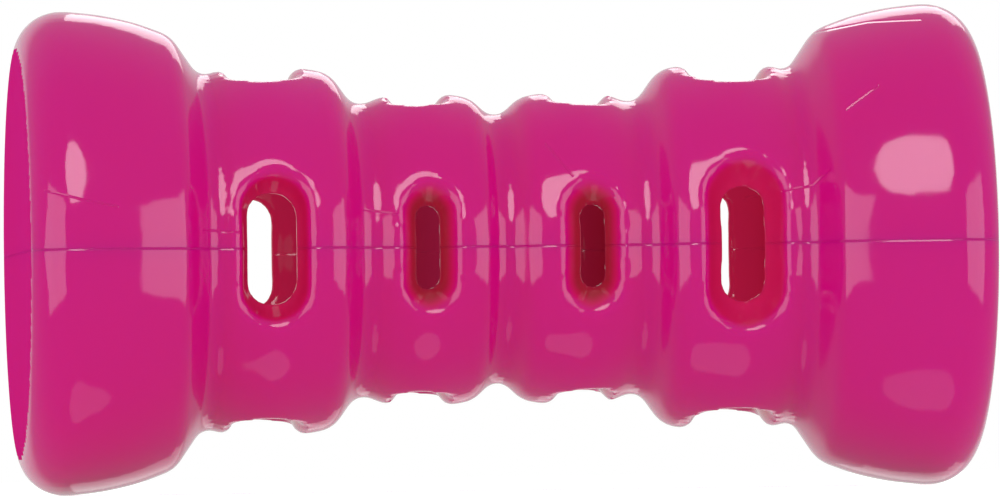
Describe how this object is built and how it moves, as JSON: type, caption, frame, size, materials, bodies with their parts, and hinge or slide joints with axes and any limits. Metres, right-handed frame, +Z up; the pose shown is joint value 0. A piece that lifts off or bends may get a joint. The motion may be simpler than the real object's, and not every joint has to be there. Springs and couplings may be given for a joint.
{
  "type": "rubber chew toy",
  "caption": "Hollow spool-shaped rubber chew toy with round closed end flanges and four bulged rings that have oval slots into the hollow",
  "frame": {"origin": "on the surface that the toy lies on, below the middle of the waist", "axes": "+X along the toy's axis towards the right end, +Y away from the viewer, +Z up"},
  "size_m": [0.15, 0.0754, 0.0754],
  "materials": {
    "rubber": "glossy"
  },
  "bodies": {
    "root": {"upper_shell": "rubber", "lower_shell": "rubber"}
  },
  "joints": []
}
